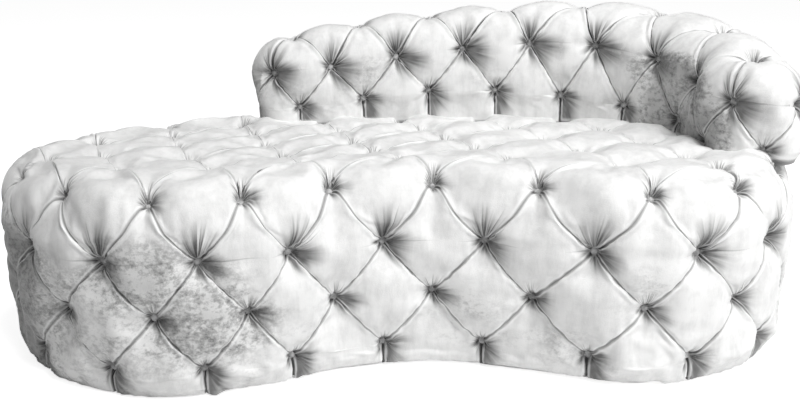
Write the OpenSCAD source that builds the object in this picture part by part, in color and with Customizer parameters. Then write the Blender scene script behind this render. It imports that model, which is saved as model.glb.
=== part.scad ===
// Kidney-shaped fainting couch: a deep-buttoned base with a camel-back rest that wraps round one end.
// Millimetres. Z is up, the long front faces -Y, the arm end is at +X, and the floor is at z = 0.

/* [Seat base] */
// Width of the base over the crowns of its puffs
seat_w = 1934; // [1700:1:2200]
// Depth of the base over the crowns of its puffs
seat_d = 975; // [900:1:1100]
// Height of the seat puffs above the floor
seat_h = 480; // [450:1:520]
// Radius of the rounded rim between the side and the seat
rim_r = 95; // [85:1:105]
// Depth of a seat button below the crowns around it
tuft_depth = 45; // [30:1:48]
// Height of the lowest row of side buttons
low_row_z = 67; // [55:1:75]
// Height from one row of side buttons to the next
row_pitch = 122; // [110:1:128]
// How far the side is drawn in at its bottom edge
tuck_in = 16; // [0:1:20]

/* [Backrest] */
// Height of the crest above the floor
back_h = 795; // [740:1:860]
// How far the seam of the backrest lies below the seat puffs
seam_drop = 28; // [24:1:34]
// Depth of a backrest button below the crowns around it
back_tuft_depth = 38; // [28:1:40]
// Height of the crest above the upper row of backrest buttons
top_row_drop = 108; // [96:1:120]

/* [Padding] */
// Thickness of seat cover and wadding under a button
cover_t = 20; // [16:1:24]
// Thickness of side cover and wadding under a button
side_cover_t = 12; // [10:1:14]
// Thickness of the foam wrap on the side
side_foam_t = 12; // [10:1:14]
// Thickness of the seat foam slab
seat_foam_t = 51; // [40:1:60]
// Thickness of backrest cover and wadding under a button
back_cover_t = 12; // [10:1:14]
// Thickness of the backrest foam
back_foam_t = 16; // [15:1:18]
// Diameter of a covered button
button_d = 24; // [20:1:26]
// Height of a covered button
button_h = 12; // [10:1:14]

/* [Frame] */
// Thickness of the plywood rings and of the backrest sill
ply_t = 18; // [15:1:21]
// Thickness of the bent plywood side panels
skin_t = 6; // [5:1:8]
// Thickness of the backrest panels
back_skin_t = 4; // [3:1:5]
// Width of the plywood rings
ring_w = 70; // [60:1:80]
// Width of a post along the ring
post_w = 60; // [45:1:70]
// Thickness of a post across the ring
post_t = 40; // [30:1:45]
// Thickness of a cross rail under the webbing
rail_t = 32; // [25:1:40]
// Depth of a cross rail
rail_h = 70; // [50:1:90]
// Width of an upright inside the backrest
upright_w = 60; // [45:1:70]
// Depth of the top rail inside the backrest
top_rail_h = 45; // [35:1:50]
// Height of the top rail above the upper row of buttons
rail_rise = 12; // [8:1:20]
// Side of a glued corner block
block_w = 38; // [30:1:42]

/* [Webbing and cloth] */
// Width of a strip of jute webbing
web_w = 50; // [40:1:60]
// Clear gap between strips of webbing
web_gap = 40; // [30:1:60]
// Thickness of the webbing
web_t = 1.5; // [1:0.1:2]
// Thickness of the deck cloth
cloth_t = 1; // [0.8:0.1:1.5]
// Thickness of the dust cover under the base
dust_t = 0.6; // [0.5:0.1:1]

/* [Feet and fasteners] */
// Height of a glide under the dust cover
glide_h = 5.4; // [4:0.1:8]
// Diameter of a glide
glide_d = 34; // [25:1:40]
// How far in from the deck ring's edge the bolts stand
bolt_inset = 13; // [12:1:20]
// Diameter of a backrest bolt
bolt_d = 8; // [6:1:8]
// Diameter of a bolt head
bolt_head_d = 14; // [12:1:15]
// Height of a bolt head
bolt_head_h = 5.3; // [4:0.1:6]
// Diameter of a washer
washer_d = 16; // [15.5:0.5:18]
// Thickness of a washer
washer_t = 1.6; // [1:0.1:2]
// Width of a nut across its corners
nut_d = 15; // [13:0.5:15.5]
// Height of a nut
nut_h = 6.5; // [5:0.5:7]

/* [Hidden] */
velvet = [0.85, 0.85, 0.84];
timber = [0.78, 0.62, 0.42];
plywood = [0.82, 0.69, 0.50];
foam = [0.93, 0.88, 0.70];
jute = [0.70, 0.58, 0.38];
steel = [0.62, 0.63, 0.65];
dark = [0.13, 0.13, 0.14];

// Clearance between soft pieces that are fitted into each other
clearance = 0.3;
// Clearance of a bolt in its hole
bolt_clearance = 0.5;
// Length by which a cut runs past what it cuts
overrun = 5;
// How far the posts stand inside the ring's edge
post_setback = 4;

// Outline of the base over its crowns, anticlockwise from the left tip, as shares of width and depth
seat_outline_shares = [
    [-0.499, -0.081], [-0.475, -0.260], [-0.403, -0.414], [-0.297, -0.498], [-0.178, -0.465],
    [-0.069, -0.368], [0.044, -0.332], [0.153, -0.383], [0.262, -0.445], [0.375, -0.388],
    [0.461, -0.234], [0.497, -0.029], [0.492, 0.176], [0.437, 0.360], [0.324, 0.463],
    [0.148, 0.499], [-0.033, 0.491], [-0.199, 0.424], [-0.333, 0.289], [-0.439, 0.114]
];
// Places of the button columns along the outline of the base, as shares of its length
seat_column_shares = [
    0.039, 0.086, 0.134, 0.177, 0.218, 0.262, 0.307, 0.360, 0.410, 0.456, 0.501,
    0.547, 0.592, 0.637, 0.683, 0.728, 0.774, 0.819, 0.865, 0.910, 0.953, 0.996
];
// Columns of buttons across the seat and rows along it
seat_cols = 8;
seat_rows = 3;
seat_n = len(seat_column_shares);

// Outline of the backrest over its crowns, from the middle of its head end along the inner face
back_outline_shares = [
    [-0.2225, 0.345], [-0.209, 0.283], [-0.170, 0.259], [-0.100, 0.284], [-0.033, 0.302],
    [0.070, 0.314], [0.174, 0.304], [0.262, 0.273], [0.332, 0.190], [0.368, 0.063],
    [0.369, -0.045], [0.386, -0.121], [0.416, -0.166], [0.451, -0.186], [0.480, -0.155],
    [0.494, -0.085], [0.498, 0.020], [0.491, 0.176], [0.437, 0.360], [0.324, 0.463],
    [0.148, 0.499], [-0.033, 0.491], [-0.120, 0.462], [-0.176, 0.432], [-0.211, 0.402]
];
// Places of the button columns along the outline of the backrest, as shares of its length
back_column_shares = [
    0.052, 0.102, 0.153, 0.205, 0.256, 0.302, 0.347, 0.390, 0.442,
    0.500, 0.562, 0.632, 0.705, 0.777, 0.849, 0.908, 0.964, 1.005
];
back_n = len(back_column_shares);
// Spans of the crest, the column at the arm end and the last column of the outer face
crest_spans = 7;
arm_col = crest_spans + 1;
outer_col = arm_col + 1;
last_outer_col = outer_col + crest_spans;
// Height of the crest at its buttons, from the head end to the arm, as shares of the height
crest_shares = [0.895, 0.933, 0.962, 0.987, 1.0, 0.980, 0.940, 0.880];
// Height of the lower row of backrest buttons below each crest button, as a share of the way from
// the seam to the upper row
low_row_shares = [0.39, 0.43, 0.48, 0.44, 0.37, 0.32, 0.29, 0.22];

// Height of a pleat half way between two buttons, as a share of the tuft's depth
pleat_share = 0.5;
// How round the pleats and the lower hem of the side are
pleat_power = 0.6;
hem_pleat_share = 0.4;
hem_draw_share = 0.25;
// Straight facets along each edge of a diamond
puff_steps = 3;
// Angle up the rounded rim at which its buttons sit
rim_angle = 50;
// Points on each span of an outline, and the share of its length over which its direction is taken
span_points = 16;
slope_share = 0.010;

// Heights of the base, from the floor up
frame_z = glide_h + dust_t;
rim_z = seat_h - rim_r;
button_rim_r = rim_r - tuft_depth;
seat_plane_z = seat_h - tuft_depth;
top_side_row_z = low_row_z + 2 * row_pitch;
seat_cover_z = seat_plane_z - cover_t;
seat_foam_z = seat_cover_z - seat_foam_t;
ring_top_z = seat_foam_z - cloth_t - 2 * web_t;
ring_z = ring_top_z - ply_t;
seam_z = seat_h - seam_drop;

// Distances in from the crown outline of the base
side_cover_in = tuft_depth + side_cover_t;
skin_in = side_cover_in + side_foam_t;
ring_in = skin_in + skin_t;

// Distances in from the button plane of the backrest
back_panel_in = back_cover_t + back_foam_t;
back_core_in = back_panel_in + back_skin_t;
sill_top_z = seat_foam_z + ply_t;

// Columns of the base where the posts and the bolts stand, and crest places of the uprights
post_cols = [for (c = [0:2:seat_n - 1]) c];
bolt_cols = [9.5, 11, 13, 15, 16.5];
upright_places = [0.2, 1.4, 2.8, 3.7, 5.0, 6.7];
// Places of the cross rails, as shares of the width
rail_shares = [-0.32, -0.16, 0, 0.16, 0.32];

// Curves: a closed outline through its points, with a table of its length

function wrap(i, n) = (i % n + n) % n;

function between(a, b, c, d, t) =
    (2 * b + (c - a) * t + (2 * a - 5 * b + 4 * c - d) * t * t + (3 * b - a - 3 * c + d) * t * t * t) / 2;

function outline(shares) = [
    for (i = [0:len(shares) - 1], j = [0:span_points - 1])
        let (
            p = [for (k = [-1:2]) shares[wrap(i + k, len(shares))]],
            q = between(p[0], p[1], p[2], p[3], j / span_points)
        )
        [q[0] * seat_w, q[1] * seat_d]
];

function running(pts) = [
    for (i = 0, run = 0; i <= len(pts);
        run = run + norm(pts[wrap(i + 1, len(pts))] - pts[wrap(i, len(pts))]), i = i + 1) run
];

function curve_table(pts) =
    let (run = running(pts), total = run[len(pts)])
    [for (axis = [0, 1]) [for (i = [0:len(pts)]) [run[i] / total, pts[wrap(i, len(pts))][axis]]]];

seat_curve = curve_table(outline(seat_outline_shares));
back_curve = curve_table(outline(back_outline_shares));

function on_curve(curve, s) =
    let (t = s - floor(s))
    [lookup(t, curve[0]), lookup(t, curve[1])];

function outward(curve, s) =
    let (d = on_curve(curve, s + slope_share) - on_curve(curve, s - slope_share))
    [d[1], -d[0]] / norm(d);

function inside(curve, s, d) = on_curve(curve, s) - outward(curve, s) * d;

function column_share(shares, c) =
    let (
        n = len(shares), i = floor(c),
        a = shares[wrap(i, n)] + floor(i / n),
        b = shares[wrap(i + 1, n)] + floor((i + 1) / n)
    )
    a + (b - a) * (c - i);

function seat_line(d, from, to) = [
    for (i = [0:(to - from) * puff_steps])
        inside(seat_curve, column_share(seat_column_shares, from + i / puff_steps), d)
];

function seat_ring(d) = [for (i = [0:seat_n * puff_steps - 1]) seat_line(d, 0, seat_n)[i]];

// Surfaces: a point of the tufted skin at a column, a row and a height over the button plane.
// Rows on the side: 0 at the rim, 1 to 3 down the side, 4 at the bottom edge.

function side_skin(c, r, h) =
    let (
        s = column_share(seat_column_shares, c),
        arc = button_rim_r * rim_angle * PI / 180,
        down = r * (arc + rim_z - top_side_row_z),
        phi = r < 1 ? max(0, rim_angle - down / button_rim_r * 180 / PI) : 0,
        z = phi > 0 ? rim_z + button_rim_r * sin(phi)
            : r < 1 ? rim_z - (down - arc)
            : r < 3 ? top_side_row_z - (r - 1) * row_pitch
            : low_row_z - (r - 3) * (low_row_z - frame_z),
        tuck = r > 3 ? tuck_in * pow(r - 3, 2) : 0,
        d = rim_r - button_rim_r * cos(phi) + tuck - h * cos(phi),
        p = inside(seat_curve, s, d)
    )
    [p[0], p[1], z + h * sin(phi)];

function rim_xy(c) = let (p = side_skin(c, 0, 0)) [p[0], p[1]];

// A place on the seat: u columns along the front and v rows back, between the four rim lines
function seat_xy(u, v) =
    let (
        x = u / seat_cols, y = v / seat_rows,
        right = seat_cols + seat_rows, back = right + seat_cols
    )
    (1 - y) * rim_xy(u) + y * rim_xy(back - u)
    + (1 - x) * rim_xy(seat_n - v) + x * rim_xy(seat_cols + v)
    - (1 - x) * ((1 - y) * rim_xy(0) + y * rim_xy(back))
    - x * ((1 - y) * rim_xy(seat_cols) + y * rim_xy(right));

// A point of the seat's skin, which turns down over the rim where u or v reaches its end
function seat_skin(u, v, h) =
    let (right = seat_cols + seat_rows, back = right + seat_cols, p = seat_xy(u, v))
    v == 0 ? side_skin(u, 0, h)
    : u == seat_cols ? side_skin(seat_cols + v, 0, h)
    : v == seat_rows ? side_skin(back - u, 0, h)
    : u == 0 ? side_skin(seat_n - v, 0, h)
    : [p[0], p[1], seat_plane_z + h];

// The same, at rim column c and m rows in from the rim
function rim_skin(c, m, h) =
    let (right = seat_cols + seat_rows, back = right + seat_cols)
    c <= seat_cols ? seat_skin(c, m, h)
    : c <= right ? seat_skin(seat_cols - m, c - seat_cols, h)
    : c <= back ? seat_skin(back - c, seat_rows - m, h)
    : seat_skin(m, seat_n - c, h);

// Rows on the backrest: 0 at the crest, 1 and 2 at the button rows, 3 at the seam, 4 on the deck

function crest_place(c) =
    c < 0 ? 0 : c <= crest_spans ? c : c < outer_col ? crest_spans : max(0, last_outer_col - c);

// A value at crest place i, from a table with one value for each crest button
function at_place(table, i) =
    let (k = min(floor(i), crest_spans - 1))
    table[k] + (table[k + 1] - table[k]) * (i - k);

function crest_z(i) = back_h * at_place(crest_shares, i);

function upper_row_z(c) = crest_z(crest_place(c)) - top_row_drop;

function back_side(c, d) = inside(back_curve, column_share(back_column_shares, c), back_tuft_depth + d);

function spine(i) = (back_side(i, 0) + back_side(last_outer_col - i, 0)) / 2;

function back_skin(c, r, h) =
    let (
        side = back_side(c, 0),
        middle = spine(crest_place(c)),
        reach = norm(side - middle),
        high = upper_row_z(c),
        low = seam_z + at_place(low_row_shares, crest_place(c)) * (high - seam_z),
        rise = top_row_drop - back_tuft_depth,
        phi = r < 1 ? 90 * (1 - r) : 0,
        z = r < 1 ? high + rise * sin(phi)
            : r < 2 ? high + (low - high) * (r - 1)
            : r < 3 ? low + (seam_z - low) * (r - 2)
            : seam_z + (seat_foam_z - seam_z) * (r - 3),
        lean = [cos(phi) / reach, sin(phi) / rise] / norm([cos(phi) / reach, sin(phi) / rise]),
        p = middle + (side - middle) * cos(phi)
            + outward(back_curve, column_share(back_column_shares, c)) * h * lean[0]
    )
    [p[0], p[1], z + h * lean[1]];

// Puffs: the height of a diamond between four buttons, and the lower hem between two pleats

function puff(a, b) =
    let (wa = sin(180 * a), wb = sin(180 * b))
    pleat_share * pow(max(wa, wb), pleat_power) + (1 - pleat_share) * sqrt(max(0, wa * wb));

function hem(a, q) =
    let (w = sin(180 * a), crown = pleat_share * pow(w, pleat_power) + (1 - pleat_share) * w)
    (crown + hem_pleat_share * sqrt(q) * (1 - crown)) * (1 - hem_draw_share * q * q);

// Triangles: surfaces as lists of three corners, wound the way a solid's faces need

function quad(p, q, r, s) = [[p, q, r], [p, r, s]];

function flat_list(lists) = [for (one = lists) each one];

function diamond(f, lower = true, upper = true) = [
    for (i = [0:puff_steps - 1], j = [0:puff_steps - 1])
        let (
            at = function(i, j) f(i / puff_steps, j / puff_steps),
            p = at(i, j), q = at(i, j + 1), r = at(i + 1, j + 1), s = at(i + 1, j)
        )
        each concat(
            (i <= j && upper) || (i > j && lower) ? [[p, q, r]] : [],
            (i < j && upper) || (i >= j && lower) ? [[p, r, s]] : []
        )
];

function grid(f, cols, rows) = [
    for (i = [0:len(cols) - 2], j = [0:len(rows) - 2])
        each quad(
            f(cols[i], rows[j]), f(cols[i + 1], rows[j]),
            f(cols[i + 1], rows[j + 1]), f(cols[i], rows[j + 1])
        )
];

function turned(tris) = [for (t = tris) [t[0], t[2], t[1]]];

function rounded(p) = [for (x = p) round(x * 1000) / 1000];

// A solid from its triangles, leaving out those that have shrunk to a line
module solid_of(tris) {
    corners = [for (t = tris) [for (p = t) rounded(p)]];
    whole = [for (t = corners) if (t[0] != t[1] && t[1] != t[2] && t[2] != t[0]) t];
    polyhedron(
        points = flat_list(whole),
        faces = [for (i = [0:len(whole) - 1]) [3 * i, 3 * i + 1, 3 * i + 2]],
        convexity = 6
    );
}

// An upright slab between two lines of plan points, each with its own lower and upper heights
module slab(near, far, low, high) {
    n = len(near);
    function at(i, k) =
        let (p = k == 0 || k == 1 ? near[i] : far[i])
        [p[0], p[1], k == 0 || k == 3 ? low[i] : high[i]];
    walls = [
        for (i = [0:n - 2], k = [0:3])
            each quad(at(i, k), at(i + 1, k), at(i + 1, (k + 1) % 4), at(i, (k + 1) % 4))
    ];
    ends = concat(quad(at(0, 0), at(0, 1), at(0, 2), at(0, 3)),
        quad(at(n - 1, 3), at(n - 1, 2), at(n - 1, 1), at(n - 1, 0)));
    solid_of(turned(concat(walls, ends)));
}

// Plan shapes of the base and of the backrest

module seat_plan(d) {
    polygon(seat_ring(d));
}

module back_plan(d) {
    polygon([for (i = [0:back_n * puff_steps - 1]) back_side(i / puff_steps, d)]);
}

module seat_ring_plan(outer, width) {
    difference() {
        seat_plan(outer);
        seat_plan(outer + width);
    }
}

module panel_plan(from, to) {
    near = seat_line(skin_in, from, to);
    far = seat_line(ring_in, from, to);
    polygon(concat(near, [for (i = [len(far) - 1:-1:0]) far[i]]));
}

// Stands its children on the outline of the base at column c, turned to face outwards
module at_column(c, d) {
    s = column_share(seat_column_shares, c);
    p = inside(seat_curve, s, d);
    n = outward(seat_curve, s);
    translate([p[0], p[1], 0])
        rotate(atan2(n[1], n[0]))
        children();
}

// Base frame

module glides() {
    color(dark)
        for (c = post_cols)
            at_column(c, ring_in + ring_w / 2)
            cylinder(d = glide_d, h = glide_h, $fn = 32);
}

module dust_cover() {
    color(dark)
        translate([0, 0, glide_h])
        linear_extrude(dust_t)
        seat_plan(skin_in);
}

module bottom_ring() {
    color(plywood)
        translate([0, 0, frame_z])
        linear_extrude(ply_t)
        seat_ring_plan(ring_in, ring_w);
}

module posts() {
    color(timber)
        for (c = post_cols)
            at_column(c, ring_in + post_setback + post_t / 2)
            translate([-post_t / 2, -post_w / 2, frame_z + ply_t])
            cube([post_t, post_w, ring_z - frame_z - ply_t]);
}

module corner_blocks() {
    color(timber)
        for (c = post_cols, side = [-1, 1])
            at_column(c, ring_in + post_setback + post_t / 2)
            translate([-post_t / 2 - post_setback, side * (post_w + block_w) / 2, ring_z])
            translate([0, -block_w / 2, -block_w])
            cube([block_w, block_w, block_w]);
}

module deck_ring() {
    color(plywood)
        difference() {
            translate([0, 0, ring_z])
                linear_extrude(ply_t)
                seat_ring_plan(ring_in, ring_w);
            bolt_holes();
        }
}

module cross_rails() {
    color(timber)
        intersection() {
            for (share = rail_shares)
                translate([share * seat_w - rail_t / 2, -seat_d / 2, ring_top_z - rail_h])
                cube([rail_t, seat_d, rail_h]);
            translate([0, 0, ring_top_z - rail_h - overrun])
                linear_extrude(rail_h + 2 * overrun)
                seat_plan(ring_in + ring_w);
        }
}

module side_panel(from, to) {
    color(plywood)
        translate([0, 0, frame_z])
        linear_extrude(ring_top_z - frame_z)
        panel_plan(from, to);
}

module front_panel() {
    side_panel(0, seat_cols);
}

module right_panel() {
    side_panel(seat_cols, seat_cols + seat_rows);
}

module back_panel() {
    side_panel(seat_cols + seat_rows, seat_n - seat_rows);
}

module left_panel() {
    side_panel(seat_n - seat_rows, seat_n);
}

// Webbing and deck cloth

module strips(length, width) {
    pitch = web_w + web_gap;
    count = floor((width / 2 - web_w) / pitch);
    for (i = [-count:count])
        translate([-length / 2, i * pitch - web_w / 2])
        square([length, web_w]);
}

module long_webbing() {
    color(jute)
        difference() {
            translate([0, 0, ring_top_z])
                linear_extrude(web_t)
                intersection() {
                    strips(seat_w, seat_d - 2 * ring_in);
                    seat_plan(ring_in);
                }
            bolt_holes();
        }
}

module cross_webbing() {
    color(jute)
        difference() {
            translate([0, 0, ring_top_z + web_t])
                linear_extrude(web_t)
                intersection() {
                    rotate(90) strips(seat_d, seat_w - 2 * ring_in);
                    seat_plan(ring_in);
                }
            bolt_holes();
        }
}

module deck_cloth() {
    color(jute)
        difference() {
            translate([0, 0, ring_top_z + 2 * web_t])
                linear_extrude(cloth_t)
                seat_plan(ring_in);
            bolt_holes();
        }
}

// Foam of the base

module side_foam() {
    color(foam)
        translate([0, 0, frame_z])
        linear_extrude(seat_foam_z - frame_z)
        seat_ring_plan(side_cover_in, side_foam_t);
}

module seat_foam() {
    color(foam)
        translate([0, 0, seat_foam_z])
        linear_extrude(seat_foam_t)
        difference() {
            seat_plan(side_cover_in);
            back_plan(back_panel_in - clearance);
        }
}

// Tufted covers of the base

function edge_points(f, n) = [for (i = [0:n * puff_steps]) f(i / puff_steps)];

function rim_line() =
    edge_points(function(c) side_skin(c, 0, tuft_depth * puff(c - floor(c), c - floor(c))), seat_n);

// The hem's own corners lie half a facet on from those of the wall behind it
function hem_line() = edge_points(
    function(c)
        let (x = c + 1 / (2 * puff_steps) + 1 / 2)
        side_skin(x - 1 / 2, 4, tuft_depth * hem(x - floor(x), 1)),
    seat_n
);

function wall_line(z) = [for (p = seat_line(side_cover_in, 0, seat_n)) [p[0], p[1], z]];

function ribbon(top, bottom) = [
    for (i = [0:len(top) - 2]) each quad(top[i], top[i + 1], bottom[i + 1], bottom[i])
];

// One diamond of the side with its middle at column c and row r
function side_diamond(c, r) =
    function(a, b) side_skin(c - 1 / 2 + (a + b) / 2, r + a - b, tuft_depth * puff(a, b));

function hem_panel(k) = concat(
    diamond(side_diamond(k, 3), lower = false),
    grid(
        function(a, q) side_skin(k - 1 / 2 + a, 3 + q, tuft_depth * hem(a, q)),
        [for (i = [0:puff_steps]) i / puff_steps],
        [0, 1 / 2, 1]
    )
);

module side_cover() {
    columns = [0:seat_n - 1];
    bottom = wall_line(frame_z);
    top = wall_line(seat_cover_z);
    color(velvet)
        solid_of(concat(
            [for (k = columns) each diamond(side_diamond(k + 1 / 2, 0), upper = false)],
            [for (k = columns) each diamond(side_diamond(k, 1))],
            [for (k = columns) each diamond(side_diamond(k + 1 / 2, 2))],
            [for (k = columns) each hem_panel(k)],
            ribbon(hem_line(), bottom),
            ribbon(bottom, top),
            ribbon(top, rim_line())
        ));
}

// One diamond of the seat with its middle at column u and row v
function seat_diamond(u, v) =
    function(a, b) seat_skin(u - 1 / 2 + (a + b) / 2, v + (b - a) / 2, tuft_depth * puff(a, b));

function rim_diamond(c) =
    function(a, b) rim_skin(c - 1 / 2 + (a + b) / 2, (b - a) / 2, tuft_depth * puff(a, b));

module seat_cover() {
    bottom = wall_line(seat_cover_z);
    color(velvet)
        difference() {
            solid_of(concat(
                [for (k = [0:seat_n - 1]) each diamond(rim_diamond(k + 1 / 2), lower = false)],
                [for (i = [0:seat_cols - 1], j = [1:seat_rows - 1]) each diamond(seat_diamond(i + 1 / 2, j))],
                [for (i = [1:seat_cols - 1], j = [0:seat_rows - 1]) each diamond(seat_diamond(i, j + 1 / 2))],
                ribbon(rim_line(), bottom),
                [for (i = [0:len(bottom) - 2]) [bottom[i], bottom[i + 1], [0, 0, seat_cover_z]]]
            ));
            translate([0, 0, seat_cover_z - overrun])
                linear_extrude(seat_h)
                back_plan(back_panel_in - clearance);
            translate([0, 0, seam_z - clearance])
                linear_extrude(seat_h)
                back_plan(-back_tuft_depth - clearance);
        }
}

// Covered buttons

// Outline of a button from the point of its back to the top of its dome, as shares of its
// radius and height
button_shares = [[0, 0], [1, 0.64], [1, 0.72], [0.82, 0.88], [0.45, 0.97], [0, 1]];

module button() {
    rotate_extrude($fn = 32)
        polygon([for (p = button_shares) [p[0] * button_d / 2, p[1] * button_h]]);
}

// A button on a skin, given two of the skin's points there: at the pleats and one unit above
module button_on(p, above) {
    n = above - p;
    translate(p + n * clearance)
        rotate([0, acos(n[2]), atan2(n[1], n[0])])
        button();
}

module button_row(places, r) {
    for (c = places)
        button_on(side_skin(c, r, 0), side_skin(c, r, 1));
}

module upper_side_buttons() {
    color(velvet)
        button_row([for (k = [0:seat_n - 1]) k + 1 / 2], 1);
}

module middle_side_buttons() {
    color(velvet)
        button_row([0:seat_n - 1], 2);
}

module lower_side_buttons() {
    color(velvet)
        button_row([for (k = [0:seat_n - 1]) k + 1 / 2], 3);
}

module rim_buttons() {
    color(velvet)
        button_row([0:seat_n - 1], 0);
}

function under(p, pts) =
    len([
        for (i = [0:len(pts) - 1])
            let (a = pts[i], b = pts[wrap(i + 1, len(pts))])
            if ((a[1] > p[1]) != (b[1] > p[1])
                && p[0] < a[0] + (b[0] - a[0]) * (p[1] - a[1]) / (b[1] - a[1])) i
    ]) % 2 == 1;

module seat_buttons() {
    out = -back_tuft_depth - button_d / 2;
    shade = [for (i = [0:back_n * puff_steps - 1]) back_side(i / puff_steps, out)];
    places = concat(
        [for (i = [1:seat_cols - 1], j = [1:seat_rows - 1]) [i, j]],
        [for (i = [0:seat_cols - 1], j = [0:seat_rows - 1]) [i + 1 / 2, j + 1 / 2]]
    );
    color(velvet)
        for (p = places)
            if (!under(seat_xy(p[0], p[1]), shade))
                button_on(seat_skin(p[0], p[1], 0), seat_skin(p[0], p[1], 1));
}

// Backrest frame

// Plan points on both faces of the backrest's core, from crest place i to crest place j
function core_line(i, j, n, near) = [
    for (k = [0:n])
        let (place = i + (j - i) * k / n)
        back_side(near ? place : last_outer_col - place, back_core_in)
];

module back_sill() {
    color(plywood)
        difference() {
            translate([0, 0, seat_foam_z])
                linear_extrude(ply_t)
                back_plan(back_core_in);
            bolt_holes();
        }
}

module uprights() {
    color(timber)
        for (place = upright_places) {
            reach = upright_w / norm(spine(place + 1 / 2) - spine(place - 1 / 2)) / 2;
            top = [for (i = [place - reach, place + reach]) upper_row_z(i) + rail_rise - top_rail_h];
            slab(
                core_line(place - reach, place + reach, 1, true),
                core_line(place - reach, place + reach, 1, false),
                [sill_top_z, sill_top_z],
                top
            );
        }
}

module top_rail() {
    n = crest_spans * puff_steps;
    top = [for (k = [0:n]) upper_row_z(k / puff_steps) + rail_rise];
    color(timber)
        slab(
            core_line(0, crest_spans, n, true),
            core_line(0, crest_spans, n, false),
            [for (z = top) z - top_rail_h],
            top
        );
}

module back_skin_panel(from, to) {
    places = [for (i = [0:(to - from) * puff_steps]) from + i / puff_steps];
    color(plywood)
        slab(
            [for (c = places) back_side(c, back_panel_in)],
            [for (c = places) back_side(c, back_core_in)],
            [for (c = places) seat_foam_z],
            [for (c = places) upper_row_z(c)]
        );
}

module inner_back_panel() {
    back_skin_panel(0, crest_spans);
}

module arm_end_panel() {
    back_skin_panel(crest_spans, outer_col);
}

module outer_back_panel() {
    back_skin_panel(outer_col, last_outer_col);
}

module head_end_panel() {
    back_skin_panel(last_outer_col, back_n);
}

// Backrest foam and cover

function back_shell(h) = grid(
    function(c, r) back_skin(c, r, -h),
    [for (i = [0:back_n * puff_steps]) i / puff_steps],
    [0, 1 / 3, 2 / 3, 1, 3]
);

function back_line(h) = edge_points(function(c) back_skin(c, 3, -h), back_n);

module back_foam() {
    color(foam)
        solid_of(concat(
            back_shell(back_cover_t),
            ribbon(back_line(back_cover_t), back_line(back_panel_in)),
            turned(back_shell(back_panel_in))
        ));
}

// The column that a place above the upper row belongs to, where the columns of an end all meet
// in one crest button
function fanned(c, r) =
    let (
        at_end = c < 0 || (c > crest_spans && c < outer_col) || c > last_outer_col,
        k = round(c)
    )
    at_end && r > 0 && r < 1 ? k + (c - k) / r : c;

// One diamond of the backrest with its middle at column c and row r
function back_diamond(c, r) =
    function(a, b)
        let (place = c - 1 / 2 + (a + b) / 2, row = r + a - b)
        back_skin(fanned(place, row), row, back_tuft_depth * puff(a, b));

// One diamond across the crest, from its button i to the next
function crest_diamond(i) =
    function(a, b)
        let (place = i + (a + b) / 2, c = a < b ? last_outer_col - place : place)
        back_skin(c, abs(a - b), back_tuft_depth * puff(a, b));

function back_hem(k) = concat(
    diamond(back_diamond(k + 1 / 2, 2), lower = false),
    grid(
        function(a, q) back_skin(k + a, 2 + q, back_tuft_depth * hem(a, q)),
        [for (i = [0:puff_steps]) i / puff_steps],
        [0, 1]
    )
);

module back_cover() {
    hem_edge = edge_points(function(c) back_skin(c, 3, back_tuft_depth * hem(c - floor(c), 1)), back_n);
    color(velvet)
        solid_of(concat(
            [for (k = [0:back_n - 1]) each diamond(back_diamond(k, 1))],
            [for (i = [0:crest_spans - 1]) each diamond(crest_diamond(i))],
            [for (k = [0:back_n - 1]) each back_hem(k)],
            ribbon(hem_edge, back_line(back_cover_t)),
            turned(back_shell(back_cover_t))
        ));
}

module back_button_row(places, r) {
    for (c = places)
        button_on(back_skin(c, r, 0), back_skin(c, r, 1));
}

module upper_back_buttons() {
    color(velvet)
        back_button_row([for (k = [0:back_n - 1]) k + 1 / 2], 1);
}

module lower_back_buttons() {
    color(velvet)
        back_button_row([0:back_n - 1], 2);
}

module crest_buttons() {
    color(velvet)
        for (i = [0:crest_spans])
            button_on(back_skin(i, 0, 0), back_skin(i, 0, 1));
}

// Bolts that hold the backrest down on the deck

module at_bolts(z) {
    for (c = bolt_cols)
        at_column(c, ring_in + bolt_inset)
        translate([0, 0, z])
        children();
}

module bolt_holes() {
    at_bolts(ring_z - overrun)
        cylinder(d = bolt_d + 2 * bolt_clearance, h = sill_top_z - ring_z + 2 * overrun, $fn = 32);
}

module bolts() {
    head_z = ring_z - washer_t - bolt_head_h;
    color(steel)
        at_bolts(head_z) {
            cylinder(d = bolt_head_d, h = bolt_head_h, $fn = 32);
            cylinder(d = bolt_d, h = sill_top_z + nut_h - head_z, $fn = 32);
        }
}

module washers() {
    color(steel)
        at_bolts(ring_z - washer_t)
        difference() {
            cylinder(d = washer_d, h = washer_t, $fn = 32);
            translate([0, 0, -overrun])
                cylinder(d = bolt_d + bolt_clearance, h = washer_t + 2 * overrun, $fn = 32);
        }
}

module nuts() {
    color(steel)
        at_bolts(sill_top_z)
        difference() {
            cylinder(d = nut_d, h = nut_h, $fn = 6);
            translate([0, 0, -overrun])
                cylinder(d = bolt_d, h = nut_h + 2 * overrun, $fn = 32);
        }
}

glides();
dust_cover();
bottom_ring();
posts();
corner_blocks();
deck_ring();
cross_rails();
front_panel();
right_panel();
back_panel();
left_panel();
long_webbing();
cross_webbing();
deck_cloth();
side_foam();
seat_foam();
side_cover();
seat_cover();
rim_buttons();
upper_side_buttons();
middle_side_buttons();
lower_side_buttons();
seat_buttons();
back_sill();
uprights();
top_rail();
inner_back_panel();
arm_end_panel();
outer_back_panel();
head_end_panel();
back_foam();
back_cover();
upper_back_buttons();
lower_back_buttons();
crest_buttons();
bolts();
washers();
nuts();
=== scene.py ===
import math
import bmesh
import bpy
import numpy as np
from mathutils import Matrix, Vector, noise


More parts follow.
